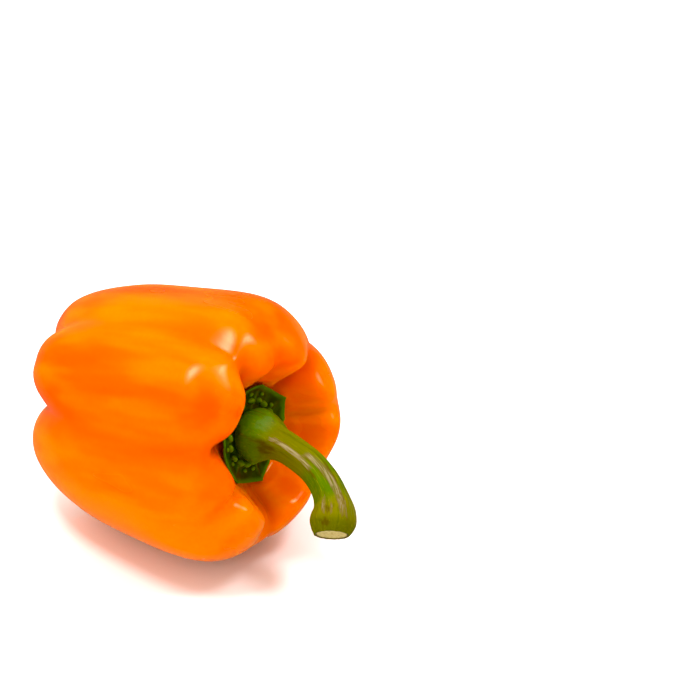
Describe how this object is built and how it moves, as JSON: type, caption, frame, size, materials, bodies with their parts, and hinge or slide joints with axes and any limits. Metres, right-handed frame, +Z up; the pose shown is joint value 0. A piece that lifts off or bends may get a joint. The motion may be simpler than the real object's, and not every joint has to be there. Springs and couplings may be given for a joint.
{
  "type": "bell pepper",
  "caption": "Whole orange bell pepper lying on its side: blocky lobed fruit with furrows, a hollow at the stem end, a green cornered calyx and a thick curved stem with a cut end.",
  "frame": {"origin": "centre of the bounding box's underside, on the surface that the pepper lies on", "axes": "+Z up from that surface; +Y away from a viewer who sees the stem end at the right; the fruit's axis points to +X and 35 degrees towards -Y at its stem end, and rises 8 degrees"},
  "size_m": [0.1063, 0.1079, 0.0809],
  "materials": {
    "fruit_skin": "glossy waxy orange skin",
    "calyx_green": "satin deep green leaf",
    "stem_green": "satin olive green stalk with corky scars and a pale cut end"
  },
  "bodies": {
    "root": {"fruit": "fruit_skin", "calyx": "calyx_green", "stem": "stem_green"}
  },
  "joints": []
}
